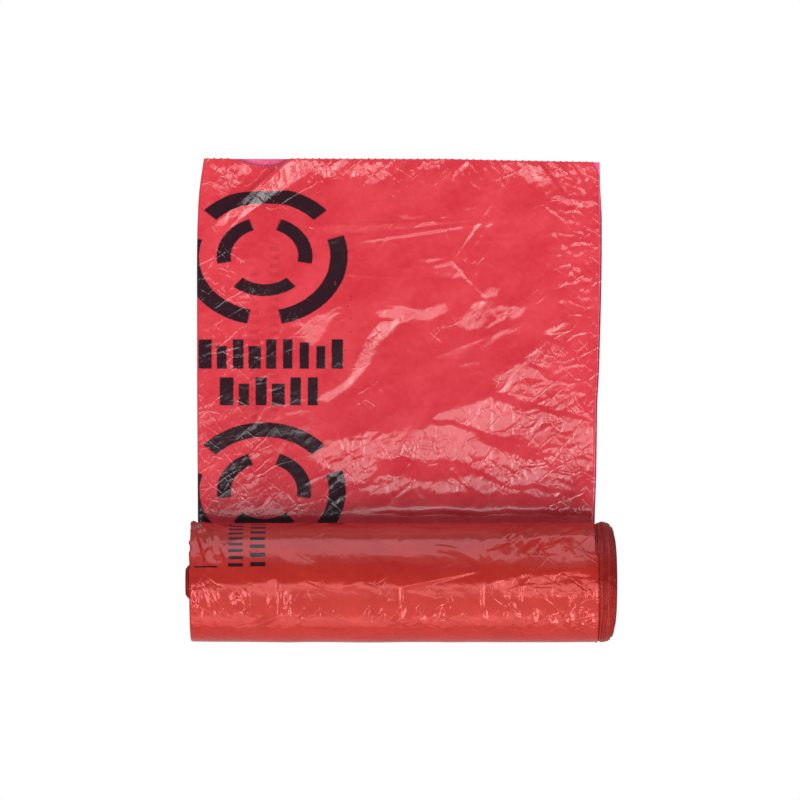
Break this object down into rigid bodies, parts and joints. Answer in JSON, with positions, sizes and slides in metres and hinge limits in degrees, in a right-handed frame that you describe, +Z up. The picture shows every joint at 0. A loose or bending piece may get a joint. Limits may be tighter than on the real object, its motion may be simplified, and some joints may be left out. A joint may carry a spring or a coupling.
{
  "type": "roll of medical waste bags",
  "caption": "Coreless roll of folded red film bags for medical waste, with the first bag pulled out flat from under the roll and turned once round it.",
  "frame": {"origin": "on the floor below the middle of the whole object's box", "axes": "+X along the roll, +Y the way the film pulls out of it, +Z up"},
  "size_m": [0.321, 0.3634, 0.083],
  "materials": {
    "flat_film": "thin translucent polyethylene film, glossy and lightly creased",
    "wound_film": "many turns of the same film, glossy, darker and deeper red"
  },
  "bodies": {
    "root": {"lead_bag": "flat_film", "wound_bags": "wound_film"}
  },
  "joints": []
}
